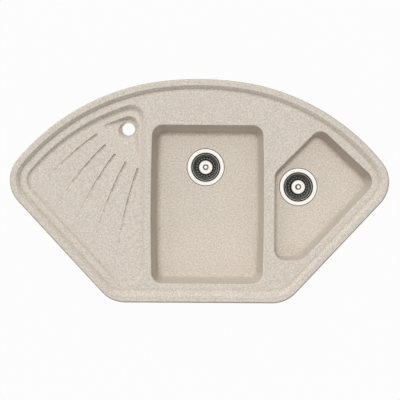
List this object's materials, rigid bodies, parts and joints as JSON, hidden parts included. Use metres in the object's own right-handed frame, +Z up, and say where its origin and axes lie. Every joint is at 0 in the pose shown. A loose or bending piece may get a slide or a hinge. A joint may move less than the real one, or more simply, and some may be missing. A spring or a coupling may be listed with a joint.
{
  "type": "corner kitchen sink",
  "caption": "Inset corner kitchen sink in stone composite with a full bowl, an angled half bowl, a grooved drainer and basket strainer wastes.",
  "frame": {"origin": "on the worktop's top surface, which the underside of the rim rests on, midway between the two side tips and midway from the front edge to the top of the back curve", "axes": "+X to the right, along the front edge, towards the half bowl; +Y back, towards the room's corner; +Z up, out of the bowls"},
  "size_m": [1.06, 0.626, 0.277],
  "materials": {
    "composite": "matte",
    "polished_steel": "polished",
    "steel": "satin",
    "zinc_steel": "satin",
    "brass": "satin",
    "rubber": "matte",
    "foam": "matte",
    "pale_plastic": "satin",
    "dark_plastic": "satin"
  },
  "bodies": {
    "sink": {"sink_body": "composite", "rim_seal": "foam", "clip_inserts": "brass", "clip_screws": "zinc_steel", "main_strainer_flange": "polished_steel", "main_flange_gasket": "rubber", "main_body_gasket": "rubber", "main_waste_body": "pale_plastic", "main_screw_insert": "brass", "main_centre_screw": "steel", "half_strainer_flange": "polished_steel", "half_flange_gasket": "rubber", "half_body_gasket": "rubber", "half_waste_body": "pale_plastic", "half_screw_insert": "brass", "half_centre_screw": "steel", "main_overflow_cap": "dark_plastic", "main_overflow_seal": "rubber"},
    "main_basket_set": {"main_basket": "steel", "main_basket_cap": "polished_steel", "main_basket_knob": "polished_steel", "main_basket_stem": "steel", "main_stopper": "rubber"},
    "half_basket_set": {"half_basket": "steel", "half_basket_cap": "polished_steel", "half_basket_knob": "polished_steel", "half_basket_stem": "steel", "half_stopper": "rubber"},
    "clip_1_swing": {"clip_1": "zinc_steel"},
    "clip_2_swing": {"clip_2": "zinc_steel"},
    "clip_3_swing": {"clip_3": "zinc_steel"},
    "clip_4_swing": {"clip_4": "zinc_steel"},
    "clip_5_swing": {"clip_5": "zinc_steel"},
    "clip_6_swing": {"clip_6": "zinc_steel"},
    "clip_7_swing": {"clip_7": "zinc_steel"},
    "clip_8_swing": {"clip_8": "zinc_steel"}
  },
  "joints": [
    {"name": "main_basket_lift", "type": "slide", "parent": "sink", "child": "main_basket_set", "axis": [0, 0, 1], "range_m": [0, 0.26]},
    {"name": "half_basket_lift", "type": "slide", "parent": "sink", "child": "half_basket_set", "axis": [0, 0, 1], "range_m": [0, 0.215]},
    {"name": "clip_1_turn", "type": "hinge", "parent": "sink", "child": "clip_1_swing", "pos_m": [0.13, -0.281, -0.0465], "axis": [0, 0, -1], "range_deg": [0, 90]},
    {"name": "clip_2_turn", "type": "hinge", "parent": "sink", "child": "clip_2_swing", "pos_m": [0.35177, -0.15069, -0.0465], "axis": [0, 0, -1], "range_deg": [0, 90]},
    {"name": "clip_3_turn", "type": "hinge", "parent": "sink", "child": "clip_3_swing", "pos_m": [0.42432, 0.12729, -0.0465], "axis": [0, 0, -1], "range_deg": [0, 90]},
    {"name": "clip_4_turn", "type": "hinge", "parent": "sink", "child": "clip_4_swing", "pos_m": [0.19143, 0.25638, -0.0465], "axis": [0, 0, -1], "range_deg": [0, 90]},
    {"name": "clip_5_turn", "type": "hinge", "parent": "sink", "child": "clip_5_swing", "pos_m": [-0.13, -0.281, -0.0465], "axis": [0, 0, 1], "range_deg": [0, 90]},
    {"name": "clip_6_turn", "type": "hinge", "parent": "sink", "child": "clip_6_swing", "pos_m": [-0.35177, -0.15069, -0.0465], "axis": [0, 0, 1], "range_deg": [0, 90]},
    {"name": "clip_7_turn", "type": "hinge", "parent": "sink", "child": "clip_7_swing", "pos_m": [-0.42432, 0.12729, -0.0465], "axis": [0, 0, 1], "range_deg": [0, 90]},
    {"name": "clip_8_turn", "type": "hinge", "parent": "sink", "child": "clip_8_swing", "pos_m": [-0.19143, 0.25638, -0.0465], "axis": [0, 0, 1], "range_deg": [0, 90]}
  ]
}
